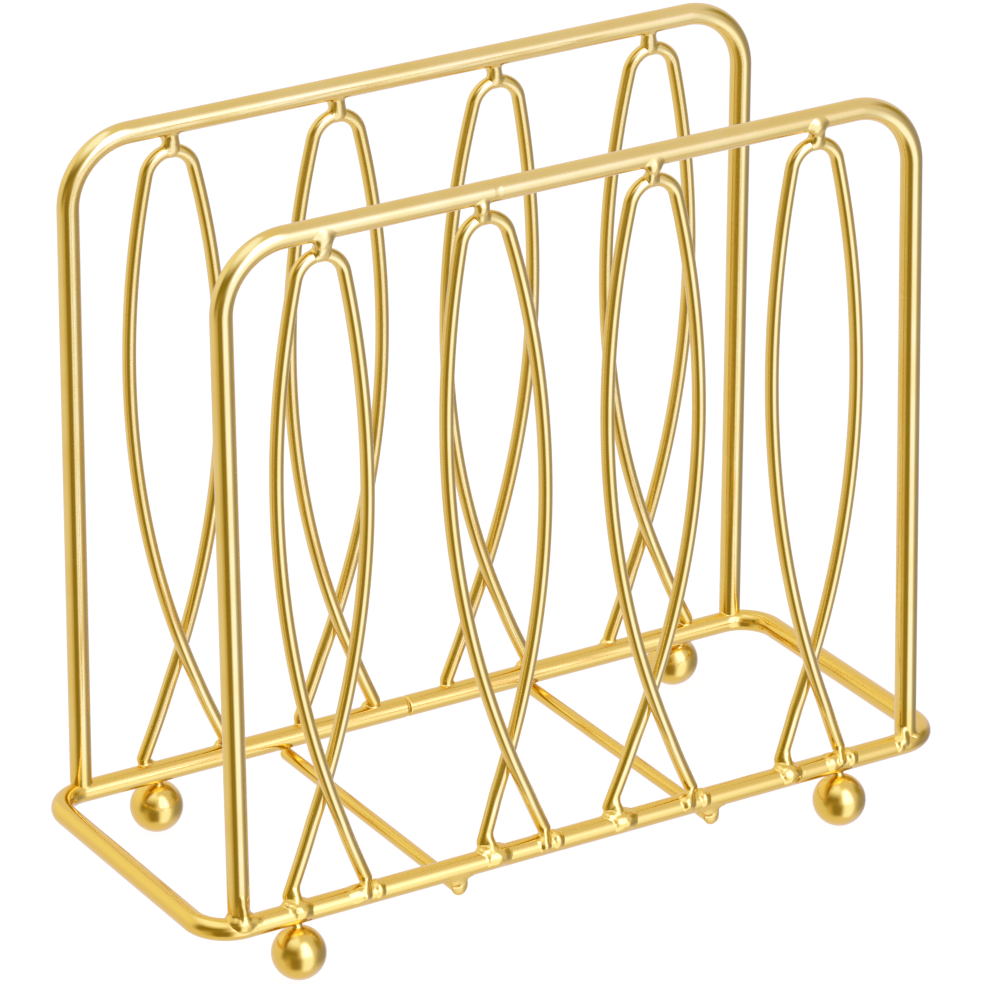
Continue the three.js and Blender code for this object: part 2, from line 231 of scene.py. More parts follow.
light = (*WALL_LIGHT, 1)
for _, card_azimuth, card_elevation, half_width, half_height, soft, colour in ROOM_CARDS:
    across = inside(azimuth, card_azimuth, half_width, soft)
    upright = inside(elevation, card_elevation, half_height, soft)
    light = (across * upright).mix(light, (*colour, 1))
mirrored = room.node("ShaderNodeLightPath", output="Is Glossy Ray")
shown = mirrored.mix((TABLE_LIGHT, TABLE_LIGHT, TABLE_LIGHT, 1), light)
sky = room.node("ShaderNodeBackground", inputs={"Color": shown})
room.node("ShaderNodeOutputWorld", inputs={"Surface": sky})
bpy.context.scene.view_settings.view_transform = "Standard"
print("cards in the room:", len(ROOM_CARDS))

# %% Table
TABLE_SIZE = 6.0
half = TABLE_SIZE / 2
floor_mesh = bpy.data.meshes.new("floor")
floor_corners = [(-half, -half, 0), (half, -half, 0), (half, half, 0), (-half, half, 0)]
floor_mesh.from_pydata(floor_corners, [], [(0, 1, 2, 3)])
floor = bpy.data.objects.new("floor", floor_mesh)
bpy.context.scene.collection.objects.link(floor)
floor.visible_glossy = False
sheet = bpy.data.materials.new("white_sheet")
sheet.use_nodes = True
sheet_shader = sheet.node_tree.nodes["Principled BSDF"]
sheet_settings = {
    "Base Color": (0.12, 0.12, 0.12, 1),
    "Roughness": 0.9,
    "Specular IOR Level": 0.0,
    "Emission Color": (1, 1, 1, 1),
    "Emission Strength": 0.93,
}
for socket, setting in sheet_settings.items():
    sheet_shader.inputs[socket].default_value = setting
floor_mesh.materials.append(sheet)
print("table is", TABLE_SIZE, "m wide")

# %% [markdown]
# ## Satin gold
#
# The finish is a thin gold lacquer over brightened steel. It is a metal with a tinted mirror, blurred a
# little by its satin grain, under a thin clear coat. A flat colour would look like plastic, so three things
# change over the surface: broad clouds of a warmer gold where the lacquer is thicker, a deeper gold low
# down on the holder, and a fine grain that feeds a Bump node. The drops under the front ends of the cross
# wires are duller than the rest.

# %% Gold finishes
PALE_GOLD = (0.915, 0.705, 0.15, 1)
WARM_GOLD = (0.89, 0.665, 0.12, 1)
DEEP_GOLD = (0.915, 0.645, 0.082, 1)
# The gold deepens between these two heights above the table, in metres
DEEP_BELOW, PALE_ABOVE = 0.015, 0.022
# Noise scales are in features per metre, and the clouds show between the two shares of their noise
CLOUD_SCALE, CLOUD_DETAIL = 90, 3
CLOUD_FROM, CLOUD_TO = 0.35, 0.68
GRAIN_SCALE, GRAIN_DETAIL = 2600, 2
CLOUD_BLUR, GRAIN_BLUR = 0.03, 0.05
COAT_WEIGHT, COAT_BLUR = 0.2, 0.12


def gold_finish(name, roughness, grain_depth):
    """A satin gold metal. The depth of its grain is in millimetres."""
    finish = bpy.data.materials.new(name)
    finish.use_nodes = True
    finish.node_tree.nodes.clear()
    start = Value(finish.node_tree)
    place = start.node("ShaderNodeTexCoord", output="Object")

    def noise(scale, detail):
        return start.node("ShaderNodeTexNoise", inputs={"Vector": place, "Scale": scale, "Detail": detail})

    clouds = noise(CLOUD_SCALE, CLOUD_DETAIL).step(CLOUD_FROM, CLOUD_TO)
    height = place.axis(2)
    # The gold turns deeper towards the bottom of the holder, by height alone
    deep_low_down = 1 - height.step(DEEP_BELOW, PALE_ABOVE)
    grain = noise(GRAIN_SCALE, GRAIN_DETAIL)
    relief = grain * grain_depth * MM
    bump = start.node("ShaderNodeBump", inputs={"Height": relief, "Strength": 1.0, "Distance": 1.0})
    shader = start.node(
        "ShaderNodeBsdfPrincipled",
        inputs={
            "Base Color": deep_low_down.mix(clouds.mix(PALE_GOLD, WARM_GOLD), DEEP_GOLD),
            "Metallic": 1.0,
            "Roughness": clouds * CLOUD_BLUR + grain * GRAIN_BLUR + roughness,
            "Coat Weight": COAT_WEIGHT,
            "Coat Roughness": COAT_BLUR,
            "Normal": bump,
        },
    )
    start.node("ShaderNodeOutputMaterial", inputs={"Surface": shader})
    return finish


frame_gold = gold_finish("frame_wire_gold", roughness=0.12, grain_depth=0.003)
loop_gold = gold_finish("loop_wire_gold", roughness=0.11, grain_depth=0.002)
ball_gold = gold_finish("ball_gold", roughness=0.18, grain_depth=0.003)
weld_gold = gold_finish("weld_gold", roughness=0.14, grain_depth=0.005)
dull_gold = gold_finish("dull_gold", roughness=0.42, grain_depth=0.005)
print("finishes:", [m.name for m in bpy.data.materials if "gold" in m.name])

# %% [markdown]
# ## Sizes
#
# The wires are drawn again from the same sizes as the solids, in millimetres, because a wire's middle line
# says more than its facets do. X runs along the rails, -Y is the front and Z is up, from the middle of the
# base ring. A panel is one hoop with its loops. It leans in a little, so its points are given in the hoop's
# own plane and then turned into place.

# %% Sizes of wires and panels
FRAME_RADIUS = 2.0
LOOP_RADIUS = 1.25
BALL_RADIUS = 4.9
BALL_FLAT_RADIUS = 1.2
BALL_GAP = 0.4
BALL_DROP = FRAME_RADIUS + BALL_GAP + BALL_RADIUS
CLEARANCE = 0.3
RING_HEIGHT = BALL_DROP + math.sqrt(BALL_RADIUS**2 - BALL_FLAT_RADIUS**2)
RING_SHIFT = -1.55
RAIL_Y = 30.65
RING_CORNER = 7.0
HOOP_LEG_X = 70.0
HOOP_OVER_CORNER = 0.95
RING_END_X = HOOP_LEG_X + RING_CORNER - HOOP_OVER_CORNER
HOOP_HEIGHT = 126.1
HOOP_CORNER = 12.2
HOOP_LEAN = math.radians(0.77)
SEAM_X = -1.4
LOOP_PITCH = 33.3
LOOP_HALF_WIDTH = 9.65
LOOP_TOP_RADIUS = 4.9
LOOP_BELLY_DEPTH = 44.5
LOOP_LEG_RUN = 5.0
LOOP_TOP_GAP = 1.5
CROSS_X = 26.5
CROSS_RADIUS = 1.25
CROSS_DROP = FRAME_RADIUS + CLEARANCE + CROSS_RADIUS
CROSS_Z = RING_HEIGHT - CROSS_DROP
CROSS_OVERHANG = 0.4
CROSS_END = RAIL_Y + CROSS_OVERHANG
HANDS = {"left": -1, "right": 1}

# Each panel was bent by hand. It stands a little inside or outside its rail and is moved along it. Its hoop
# is taller or lower, the gap above the loops is wider or narrower, and the left and right leg lean in at the
# top. The front hoop has a joint in its top rail that was ground flush.
# A loop: the shift of its top along the rail, then its right and its left half. Each half crosses over to its
# foot: how far the foot reaches past the top, and how much wider and lower the belly is than usual.
PANELS = {
    "front": {
        "side": -1,
        "inset": 0.9,
        "along": 0.0,
        "shift": -1.5,
        "taller": -0.2,
        "wider_gap": -0.2,
        "ground_at": -16.85,
        "leg_leans": (0.0, 0.7),
        "loops": [
            (0.4, (8.7, -0.8, 0.0), (6.2, 0.0, 0.0)),
            (-0.5, (1.6, 2.5, 9.0), (10.5, -1.2, -4.5)),
            (0.1, (9.2, 0.3, 2.0), (7.7, 0.2, 0.0)),
            (0.3, (5.9, 0.2, 4.0), (6.2, -0.6, 0.0)),
        ],
    },
    "rear": {
        "side": 1,
        "inset": -0.5,
        "along": 0.85,
        "shift": 0.65,
        "taller": -0.4,
        "wider_gap": 0.3,
        "ground_at": None,
        "leg_leans": (0.5, 0.0),
        "loops": [
            (-0.1, (7.55, 0.4, 1.5), (9.25, -0.5, -2.5)),
            (0.2, (8.35, 0.0, 0.0), (6.85, 0.6, 1.0)),
            (0.0, (10.05, -1.2, -2.5), (7.25, 1.1, 2.5)),
            (-0.2, (7.15, -0.3, 0.0), (9.45, 0.0, -1.0)),
        ],
    },
}


def panel_point(panel, x, y, z):
    """A point of a panel, given along the rail, out of the hoop's plane and above the base ring."""
    side = panel["side"]
    lean = side * HOOP_LEAN
    out = side * (RAIL_Y - panel["inset"]) + y * math.cos(lean) - z * math.sin(lean)
    return Vector((x + panel["along"], out, RING_HEIGHT + y * math.sin(lean) + z * math.cos(lean)))


def panel_heights(panel):
    """The middle of a hoop's top rail and of its loops' tops, above the base ring."""
    rail = HOOP_HEIGHT + panel["taller"]
    return rail, rail - FRAME_RADIUS - LOOP_TOP_GAP - panel["wider_gap"] - LOOP_RADIUS


def arc(centre, radius, start, end, count):
    """Points on a circle in a plane, as pairs, from one angle to another."""
    turns = [start + (end - start) * i / count for i in range(count + 1)]
    return [(centre[0] + radius * math.cos(a), centre[1] + radius * math.sin(a)) for a in turns]


print("ring is", 2 * (RING_END_X + FRAME_RADIUS), "mm long")

# %% [markdown]
# ## A wire along its path
#
# A wire is one circle carried along a path. A curve with a bevel would do it. A Geometry Nodes tree does
# the same and takes its radius and its number of sides as named inputs, so one tree makes every wire of the
# holder. The path comes in as a row of points joined by edges, and the result is turned into a plain mesh.

# %% Node tree for wires


def new_tree(name, sockets):
    """A geometry tree with the named inputs, each a socket type, and its first value."""
    tree = bpy.data.node_groups.new(name, "GeometryNodeTree")
    tree.interface.new_socket("Geometry", in_out="INPUT", socket_type="NodeSocketGeometry")
    tree.interface.new_socket("Geometry", in_out="OUTPUT", socket_type="NodeSocketGeometry")
    for label, kind in sockets:
        tree.interface.new_socket(label, in_out="INPUT", socket_type=kind)
    group = tree.nodes.new("NodeGroupInput")
    return tree, {socket.name: Value(tree, socket) for socket in group.outputs if socket.name}


def wire_tree():
    sockets = [
        ("Wire Radius", "NodeSocketFloat"),
        ("Sides", "NodeSocketInt"),
        ("Finish", "NodeSocketMaterial"),
    ]
    tree, given = new_tree("wire_on_a_path", sockets)
    start = Value(tree)
    path = start.node("GeometryNodeMeshToCurve", inputs={"Mesh": given["Geometry"]})
    thickness = start.node("GeometryNodeInputNamedAttribute", {"data_type": "FLOAT"}, {"Name": "thickness"})
    section = start.node(
        "GeometryNodeCurvePrimitiveCircle",
        inputs={"Resolution": given["Sides"], "Radius": given["Wire Radius"]},
    )
    swept = start.node(
        "GeometryNodeCurveToMesh",
        inputs={"Curve": path, "Profile Curve": section, "Scale": thickness, "Fill Caps": True},
    )
    smooth = start.node("GeometryNodeSetShadeSmooth", inputs={"Geometry": swept})
    real = start.node("GeometryNodeRealizeInstances", inputs={"Geometry": smooth})
    dressed = start.node("GeometryNodeSetMaterial", inputs={"Geometry": real, "Material": given["Finish"]})
    start.node("NodeGroupOutput", inputs={0: dressed})
    return tree


def run_tree(name, tree, start_mesh, values):
    """Runs a geometry tree on a mesh and returns the result as a finished object with a plain mesh."""
    maker = bpy.data.objects.new(name + "_maker", start_mesh)
    bpy.context.scene.collection.objects.link(maker)
    modifier = maker.modifiers.new("tree", "NODES")
    modifier.node_group = tree
    for item in tree.interface.items_tree:
        if item.name in values:
            modifier[item.identifier] = values[item.name]
    graph = bpy.context.evaluated_depsgraph_get()
    mesh = bpy.data.meshes.new_from_object(maker.evaluated_get(graph), depsgraph=graph)
    mesh.name = name
    bpy.data.objects.remove(maker)
    piece = bpy.data.objects.new(name, mesh)
    bpy.context.scene.collection.objects.link(piece)
    return piece


WIRE_TREE = wire_tree()
SHARP_EDGE = math.radians(50)


def stands_for(piece, node):
    """The piece rides with the holder and takes the place of a solid."""
    piece.data.transform(Matrix.Translation((0, RING_SHIFT * MM, 0)))
    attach(piece, "root")
    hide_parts(node)


def lay_wire(node, points, radius, sides, finish, thickness=None):
    """A wire through points in millimetres, in place of a solid.

    The thickness is the wire's share of its radius at each point.
    """
    path = bpy.data.meshes.new(node + "_path")
    path.from_pydata([Vector(p) * MM for p in points], [(i, i + 1) for i in range(len(points) - 1)], [])
    shares = path.attributes.new("thickness", "FLOAT", "POINT")
    shares.data.foreach_set("value", thickness or [1.0] * len(points))
    values = {"Wire Radius": radius * MM, "Sides": sides, "Finish": finish}
    piece = run_tree(node + "_wire", WIRE_TREE, path, values)
    piece.data.set_sharp_from_angle(angle=SHARP_EDGE)
    stands_for(piece, node)


print("wire tree has", len(WIRE_TREE.nodes), "nodes")

# %% [markdown]
# ## Base ring and hoops
#
# The thick wires are straight runs joined by quarter circles. The ring starts on one side of the seam in
# its rear rail and comes back to the other side, and both ends are rounded off a little. A hoop goes up one
# leg, over the top rail and down the other. On the front hoop's top rail a joint was ground flush, which
# left a very shallow hollow. Points close together there let the wire's radius dip smoothly.

# %% Thick wires
FRAME_SIDES = 48
CORNER_STEPS = 28
# The ring's seam: half its gap, how far its ends are rounded and how deep, as a share of the radius
SEAM_HALF = 0.05
SEAM_ROUND = 0.45
SEAM_DEPTH = 0.12
SEAM_STEPS = 9
# The ground joint: half its length, its depth as a share of the radius, and how many half lengths its close
# points run to each side
GROUND_HALF = 0.9
GROUND_DEPTH = 0.01
GROUND_RUN = 1.5
GROUND_STEPS = 30


def ring_path():
    """The ring's middle line, and its share of the radius at each point."""
    turn_x = RING_END_X - RING_CORNER
    turn_y = RAIL_Y - RING_CORNER
    quarter = math.pi / 2
    corners = []
    for sx, sy, turns in ((-1, 1, 1), (-1, -1, 2), (1, -1, 3), (1, 1, 4)):
        middle = (sx * turn_x, sy * turn_y)
        corners += arc(middle, RING_CORNER, turns * quarter, (turns + 1) * quarter, CORNER_STEPS)
    inward = [i / SEAM_STEPS for i in range(SEAM_STEPS + 3)]
    from_seam = [SEAM_HALF + SEAM_ROUND * i for i in inward]
    rounding = [1 - SEAM_DEPTH * max(0, 1 - i) ** 2 for i in inward]
    flat = [(SEAM_X - off, RAIL_Y) for off in from_seam] + corners
    flat += [(SEAM_X + off, RAIL_Y) for off in from_seam[::-1]]
    return [(x, y, RING_HEIGHT) for x, y in flat], rounding + [1.0] * len(corners) + rounding[::-1]


def hoop_path(panel):
    """A hoop's middle line, and its share of the radius at each point."""
    top, _ = panel_heights(panel)
    turn_z = top - HOOP_CORNER
    legs = []
    for lean in panel["leg_leans"]:
        tilt = math.atan(lean / top)
        turn_x = HOOP_LEG_X - turn_z * math.tan(tilt) - HOOP_CORNER / math.cos(tilt)
        corner = arc((turn_x, turn_z), HOOP_CORNER, tilt, math.pi / 2, CORNER_STEPS)
        legs.append([(HOOP_LEG_X, FRAME_RADIUS), *corner])
    joint = []
    if panel["ground_at"] is not None:
        for i in range(GROUND_STEPS + 1):
            off = 2 * GROUND_RUN * i / GROUND_STEPS - GROUND_RUN
            hollow = max(0, 1 - off**2) ** 2
            joint.append((panel["ground_at"] + GROUND_HALF * off, top, 1 - GROUND_DEPTH * hollow))
    flat = [(-x, z, 1.0) for x, z in legs[0]] + joint + [(x, z, 1.0) for x, z in legs[1][::-1]]
    return [panel_point(panel, x, 0, z) for x, z, _ in flat], [share for _, _, share in flat]


thick_wires = {"base_ring": ring_path()}
for row, panel in PANELS.items():
    thick_wires[row + "_hoop"] = hoop_path(panel)
for node, (path, shares) in thick_wires.items():
    lay_wire(node, path, FRAME_RADIUS, FRAME_SIDES, frame_gold, shares)
print("thick wires laid:", len(thick_wires))

# %% [markdown]
# ## Ribbon loops
#
# Each loop is one thin wire. Half of it is a tight arc over the top, a wide arc out to its belly, another
# arc back in and a straight leg down to the rail. Its two halves pass each other low down, the left half in
# front, so each is bowed a little out of the hoop's plane there. The arcs' radii follow from the loop's few
# sizes.

# %% Thin wires
LOOP_SIDES = 32
TOP_STEPS, UPPER_STEPS, LOWER_STEPS = 24, 20, 40
LEG_STEPS = 8
FOOT_STAGGER = 0.4
CROSSING_RUN = 4 * LOOP_RADIUS
HALF_APART = (2 * LOOP_RADIUS + CLEARANCE) / 2


def loop_half(depth, foot, wider, lower):
    """One half of a loop as pairs of distance out and depth, and the turn of its leg."""
    out = LOOP_HALF_WIDTH + wider
    belly = LOOP_BELLY_DEPTH + lower
    run = belly - LOOP_TOP_RADIUS
    turn = math.pi / 2 - 2 * math.atan((out - LOOP_TOP_RADIUS) / run)
    upper = LOOP_TOP_RADIUS + run / math.cos(turn)
    below = depth - belly
    leg = 2 * math.atan((out + foot) / (below + LOOP_LEG_RUN))
    under = (below - LOOP_LEG_RUN * math.cos(leg)) / math.sin(leg)
    right_angle = math.pi / 2
    points = arc((0, LOOP_TOP_RADIUS), LOOP_TOP_RADIUS, -right_angle, turn - right_angle, TOP_STEPS)
    points += arc((out - upper, belly), upper, turn - right_angle, 0, UPPER_STEPS)[1:]
    points += arc((out - under, belly), under, 0, leg, LOWER_STEPS)[1:]
    end_x, end_depth = points[-1]
    for i in range(1, LEG_STEPS + 1):
        share = i / LEG_STEPS
        points.append((end_x + (-foot - end_x) * share, end_depth + (depth - end_depth) * share))
    return points, leg


def crossing_depth(one, other):
    """The depth at which the left half first reaches past the right half, walking down both."""
    below = [depth for out, depth in one if depth > LOOP_BELLY_DEPTH]
    for depth in below:
        out = [min(half, key=lambda p: abs(p[1] - depth))[0] for half in (one, other)]
        if sum(out) < 0:
            return depth
    return below[-1]


def loop_path(panel, top_x, halves):
    """A whole loop's middle line, from its left foot over the top to its right foot."""
    _, loop_top = panel_heights(panel)
    deepest = loop_top - FRAME_RADIUS - CLEARANCE
    shapes = []
    for half in halves:
        _, leg = loop_half(deepest, *half)
        shapes.append(loop_half(deepest - LOOP_RADIUS * math.sin(leg), *half)[0])
    cross = crossing_depth(*shapes)
    above, under = cross - CROSSING_RUN, cross + CROSSING_RUN

    def bow(down, deep):
        if down < above:
            return HALF_APART * down / above
        if down < under:
            return HALF_APART
        return HALF_APART + (FOOT_STAGGER - HALF_APART) * (down - under) / (deep - under)

    def placed(hand, points):
        deep = points[-1][1]
        spots = [(top_x + hand * out, hand * bow(down, deep), loop_top - down) for out, down in points]
        return [panel_point(panel, *spot) for spot in spots]

    return placed(1, shapes[0])[::-1] + placed(-1, shapes[1])[1:]


loop_paths = {}
for row, panel in PANELS.items():
    middle = (len(panel["loops"]) - 1) / 2
    for i, (shift, *halves) in enumerate(panel["loops"]):
        top_x = (i - middle) * LOOP_PITCH + panel["shift"] + shift
        path = loop_path(panel, top_x, halves)
        loop_paths[f"{row}_loop_{i + 1}"] = (row, top_x, path)
        lay_wire(f"{row}_loop_{i + 1}", path, LOOP_RADIUS, LOOP_SIDES, loop_gold)
for end, hand in HANDS.items():
    ends = [(hand * CROSS_X, -CROSS_END, CROSS_Z), (hand * CROSS_X, CROSS_END, CROSS_Z)]
    lay_wire("cross_wire_" + end, ends, CROSS_RADIUS, LOOP_SIDES, loop_gold)
print("thin wires laid:", len(loop_paths) + len(HANDS))

# %% [markdown]
# ## Ball feet
#
# A ball is a lathe shape. Its outline is half a circle, cut off flat where it stands, and it is spun about
# its own axis. It is made dense enough to stay round in a close view.

# %% Balls
BALL_ROWS = 32
BALL_SIDES = 64


def ball_mesh(name, centre):
    """A ball with its small flat, spun row by row from the flat up to its crown."""
    flat_angle = math.asin(BALL_FLAT_RADIUS / BALL_RADIUS)
    points = []
    faces = []
    for row in range(BALL_ROWS):
        tilt = flat_angle + (math.pi - flat_angle) * row / BALL_ROWS
        for i in range(BALL_SIDES):
            spin = 2 * math.pi * i / BALL_SIDES
            out = BALL_RADIUS * math.sin(tilt)
            offset = Vector((out * math.cos(spin), out * math.sin(spin), -BALL_RADIUS * math.cos(tilt)))
            points.append((centre + offset) * MM)
    points.append((centre + Vector((0, 0, BALL_RADIUS))) * MM)
    for row in range(BALL_ROWS):
        for i in range(BALL_SIDES):
            j = (i + 1) % BALL_SIDES
            low = row * BALL_SIDES
            if row < BALL_ROWS - 1:
                faces.append((low + i, low + j, low + BALL_SIDES + j, low + BALL_SIDES + i))
            else:
                faces.append((low + i, low + j, len(points) - 1))
    faces.append(tuple(range(BALL_SIDES))[::-1])
    mesh = bpy.data.meshes.new(name)
    mesh.from_pydata(points, [], faces)
    mesh.shade_smooth()
    mesh.set_sharp_from_angle(angle=SHARP_EDGE)
    mesh.materials.append(ball_gold)
    return mesh


ball_centres = {}
for row in PANELS:
    for end in HANDS:
        name = f"ball_foot_{row}_{end}"
        low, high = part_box(name)
        centre = (low + high) / 2 / MM
        centre.y -= RING_SHIFT
        centre.z = RING_HEIGHT - BALL_DROP
        ball_centres[f"{row}_{end}"] = centre
        ball = bpy.data.objects.new(name + "_ball", ball_mesh(name + "_ball", centre))
        bpy.context.scene.collection.objects.link(ball)
        stands_for(ball, name)
print("balls:", len(ball_centres))

# %% [markdown]
# ## Weld beads
#
# A weld is molten metal that wets both wires and freezes, so its surface flows into each of them. Rounded
# meshes stuck on the joint would leave hard creases. Distances do better: at any point, take the distance
# to the rail, to the wire that stands on it and to the lumps of weld metal, and join them with a smooth
# minimum. Where that joined distance is zero lies one flowing skin. Pits are cut out of it with a smooth
# maximum. Away from the joint the skin sinks a hair below the wires, so its edge fades out. A Geometry
# Nodes tree works it out on a small grid round the joint and turns the grid into a mesh.

# %% Node tree for weld beads
SKIN_SINK = 0.035
GRID_STEP = 0.16
RIPPLE_SCALE = 900.0
RIPPLE_DETAIL = 2.0
RIPPLE_MEAN = 0.42
FADE_FROM, FADE_TO = 0.55, 0.9
PIT_BLEND = 0.3
SEED_STEP = 1.7
FAR_AWAY = 100
RODS = ("Rail", "Wire", "Ridge")
LUMPS = ("First Lump", "Second Lump")
PITS = ("First Pit", "Second Pit")


def weld_sockets():
    vector, number = "NodeSocketVector", "NodeSocketFloat"
    sockets = []
    for label in RODS:
        sockets += [(label + " Start", vector), (label + " End", vector)]
        sockets += [(label + " Start Radius", number), (label + " End Radius", number)]
    for label in LUMPS + PITS:
        sockets += [(label + " Centre", vector), (label + " Size", vector)]
    sockets += [(label, number) for label in ("Blend", "Lump Blend", "Rough Height", "Rough Scale", "Seed")]
    sockets += [("Centre", vector), ("Reach", number), ("Sink", number)]
    sockets += [("Low Corner", vector), ("High Corner", vector), ("Grid Steps", "NodeSocketInt")]
    return sockets + [("Finish", "NodeSocketMaterial")]


def weld_skin(given, start):
    """The joined distance at any point of the grid, in metres: below zero inside the metal."""
    here = start.node("GeometryNodeInputPosition")

    def rod(label):
        first = given[label + " Start"]
        run = given[label + " End"] - first
        share = ((here - first).dot(run) / run.dot(run)).math("MAXIMUM", 0.0).math("MINIMUM", 1.0)
        radius = given[label + " Start Radius"]
        radius = radius + (given[label + " End Radius"] - radius) * share
        return (here - first - run.scaled(share)).length() - radius

    def egg(label):
        size = given[label + " Size"]
        parts = [size.axis(i) for i in range(3)]
        thinnest = parts[0].math("MINIMUM", parts[1]).math("MINIMUM", parts[2])
        return (((here - given[label + " Centre"]) / size).length() - 1.0) * thinnest

    skin, *others = [rod(label) for label in RODS]
    for other in others:
        skin = skin.math("SMOOTH_MIN", other, given["Blend"])
    for label in LUMPS:
        skin = skin.math("SMOOTH_MIN", egg(label), given["Lump Blend"])
    ripple = start.node(
        "ShaderNodeTexNoise",
        {"noise_dimensions": "4D"},
        {"Vector": here, "W": given["Seed"], "Scale": given["Rough Scale"], "Detail": RIPPLE_DETAIL},
    )
    from_joint = (here - given["Centre"]).length()
    fade = 1 - (from_joint / given["Reach"]).step(FADE_FROM, FADE_TO)
    skin = skin + given["Sink"] - (ripple - RIPPLE_MEAN) * given["Rough Height"] * fade
    for label in PITS:
        skin = skin.math("SMOOTH_MAX", egg(label) * -1.0, given["Lump Blend"] * PIT_BLEND)
    return skin.math("MAXIMUM", from_joint - given["Reach"])


def weld_tree():
    tree, given = new_tree("weld_bead", weld_sockets())
    start = Value(tree)
    steps = given["Grid Steps"]
    cube = start.node(
        "GeometryNodeVolumeCube",
        inputs={
            "Density": weld_skin(given, start) * -1.0,
            "Background": -1.0,
            "Min": given["Low Corner"],
            "Max": given["High Corner"],
            "Resolution X": steps,
            "Resolution Y": steps,
            "Resolution Z": steps,
        },
    )
    shell = start.node("GeometryNodeVolumeToMesh", inputs={"Volume": cube, "Threshold": 0.0})
    smooth = start.node("GeometryNodeSetShadeSmooth", inputs={"Geometry": shell})
    real = start.node("GeometryNodeRealizeInstances", inputs={"Geometry": smooth})
    dressed = start.node("GeometryNodeSetMaterial", inputs={"Geometry": real, "Material": given["Finish"]})
    start.node("NodeGroupOutput", inputs={0: dressed})
    return tree


WELD_TREE = weld_tree()
weld_faces = {}


def lay_weld(node, centre, reach, rods, lumps=(), pits=(), blend=0.8, lump_blend=0.5, rough=0.1, finish=None):
    """A weld in place of a solid, in millimetres.

    A rod is its start, its end and its radius at both. A lump or a pit is its centre and its half sizes.
    """
    centre = Vector(centre)
    far_away = centre + Vector((0, 0, FAR_AWAY))
    corner = Vector((1, 1, 1)) * (reach + 2 * GRID_STEP)
    values = {
        "Blend": blend * MM,
        "Lump Blend": lump_blend * MM,
        "Rough Height": rough * MM,
        "Rough Scale": RIPPLE_SCALE,
        "Seed": SEED_STEP * len(weld_faces),
        "Centre": centre * MM,
        "Reach": reach * MM,
        "Sink": SKIN_SINK * MM,
        "Low Corner": (centre - corner) * MM,
        "High Corner": (centre + corner) * MM,
        "Grid Steps": round(2 * corner.x / GRID_STEP),
        "Finish": finish or weld_gold,
    }
    no_rod = (far_away, far_away + Vector((0, 0, 1)), 1, 1)
    for label, (first, last, start_radius, end_radius) in zip(RODS, [*rods, no_rod, no_rod]):
        values[label + " Start"] = Vector(first) * MM
        values[label + " End"] = Vector(last) * MM
        values[label + " Start Radius"] = start_radius * MM
        values[label + " End Radius"] = end_radius * MM
    for labels, eggs in ((LUMPS, lumps), (PITS, pits)):
        for label, (place, size) in zip(labels, [*eggs, (far_away, (1, 1, 1)), (far_away, (1, 1, 1))]):
            values[label + " Centre"] = Vector(place) * MM
            values[label + " Size"] = Vector(size) * MM
    piece = run_tree(node + "_bead", WELD_TREE, bpy.data.meshes.new(node + "_start"), values)
    weld_faces[node] = len(piece.data.polygons)
    stands_for(piece, node)


print("weld tree has", len(WELD_TREE.nodes), "nodes")

# %% [markdown]
# ## Welds at the loops' tops
#
# A web of metal fills the gap between the rail and the loop. The welder worked from outside, so a thumb of
# metal stands on the web's outer face and runs from the loop up on the rail's lower edge. Inside, the web
# swells into a pad on the loop. No two froze alike, so each weld has its own line of numbers.

# %% Top welds
# For loops 1 to 4 the web: how far it lies to the right of the loop's top, and its radius.
WEBS = {
    "front": [(0.2, 1.15), (-0.8, 1.0), (-0.4, 1.0), (0.0, 1.05)],
    "rear": [(0.4, 1.1), (0.2, 1.1), (-0.3, 1.0), (-0.6, 1.1)],
}
# The upper and the lower lump: how far to the right, out and below the rail's middle, then half width, depth
# and height.
TOP_LUMPS = {
    "front": [
        ((0.3, 1.45, 1.6, 1.75, 0.9, 1.55), (0.3, 1.0, 3.2, 1.5, 0.85, 1.6)),
        ((-1.1, 1.45, 2.2, 1.25, 0.85, 1.25), (-1.1, 0.95, 3.5, 1.2, 0.8, 1.5)),
        ((-0.6, 1.45, 1.6, 1.55, 0.9, 1.35), (-0.9, 0.95, 3.2, 1.0, 0.8, 1.5)),
        ((-0.4, 1.45, 1.0, 1.65, 0.95, 1.45), (0.2, 0.95, 3.0, 1.25, 0.8, 1.7)),
    ],
    "rear": [
        ((0.0, 1.2, 2.3, 1.2, 0.75, 1.3), (0.35, -0.1, 3.6, 1.5, 1.15, 2.0)),
        ((0.0, 1.2, 2.3, 1.2, 0.75, 1.3), (0.3, -0.1, 3.6, 1.5, 1.15, 2.0)),
        ((-0.3, 1.2, 2.3, 1.2, 0.75, 1.3), (-0.2, -0.1, 3.6, 1.3, 1.15, 2.0)),
        ((-0.3, 1.2, 2.3, 1.2, 0.75, 1.3), (-0.6, -0.1, 3.6, 1.5, 1.15, 2.0)),
    ],
}
CROWN_HALF, CROWN_DIP = 1.0, 0.1
WEB_ABOVE_LOOP, WEB_BELOW_RAIL = 1.0, 1.4
TOP_OUT, TOP_BELOW, TOP_REACH = 0.4, 2.7, 4.0


def rail_piece(panel, x, height, reach=7.0):
    """A stretch of a hoop's top rail, as a rod."""
    ends = [panel_point(panel, x + end * reach, 0, height) for end in (-1, 1)]
    return (*ends, FRAME_RADIUS, FRAME_RADIUS)


